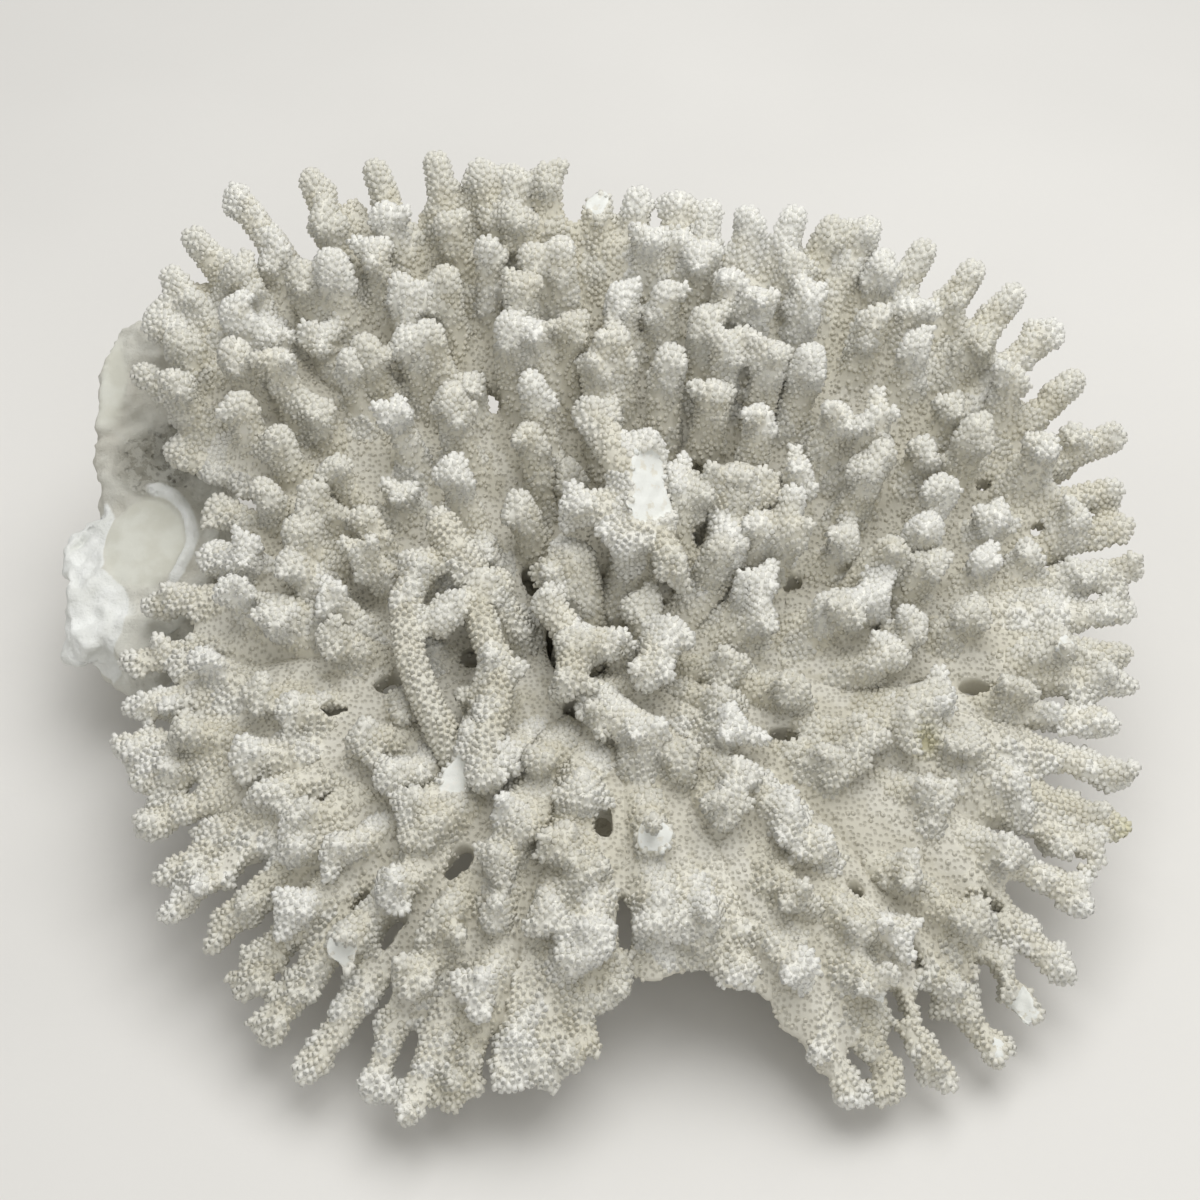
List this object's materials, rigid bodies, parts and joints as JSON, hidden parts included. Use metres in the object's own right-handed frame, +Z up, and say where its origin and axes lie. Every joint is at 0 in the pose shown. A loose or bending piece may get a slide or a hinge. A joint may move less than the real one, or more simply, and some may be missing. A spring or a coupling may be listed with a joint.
{
  "type": "staghorn coral colony",
  "caption": "Bleached branching coral colony: a low table of fused radiating limbs with upright fingers, on a short cut trunk.",
  "frame": {"origin": "centre of the flat cut under the trunk", "axes": "+X to the right along the longest side, +Y to the raised back, +Z up, the cut facing -Z"},
  "size_m": [0.405, 0.3371, 0.1681],
  "materials": {
    "branch_skeleton": "matt bleached coral skeleton, pitted with small cups, tan in the recesses and white at the tips",
    "crown_skeleton": "matt bleached coral skeleton, nearly white, with one bright broken face",
    "trunk_skeleton": "rough porous coral skeleton, greyer, with an open-pored cut underneath",
    "dead_rock": "chalky worn reef rock, smooth pale patches and grey stained pits"
  },
  "bodies": {
    "root": {"holdfast": "trunk_skeleton", "base_rock": "dead_rock", "crown_back": "crown_skeleton", "crown_right": "crown_skeleton", "crown_front": "crown_skeleton", "crown_left": "crown_skeleton", "limb_01": "branch_skeleton", "limb_02": "branch_skeleton", "limb_03": "branch_skeleton", "limb_04": "branch_skeleton", "limb_05": "branch_skeleton", "limb_06": "branch_skeleton", "limb_07": "branch_skeleton", "limb_08": "branch_skeleton", "limb_09": "branch_skeleton", "limb_10": "branch_skeleton", "limb_11": "branch_skeleton", "limb_12": "branch_skeleton", "limb_13": "branch_skeleton", "limb_14": "branch_skeleton", "limb_15": "branch_skeleton", "limb_16": "branch_skeleton", "limb_17": "branch_skeleton", "limb_18": "branch_skeleton"}
  },
  "joints": []
}
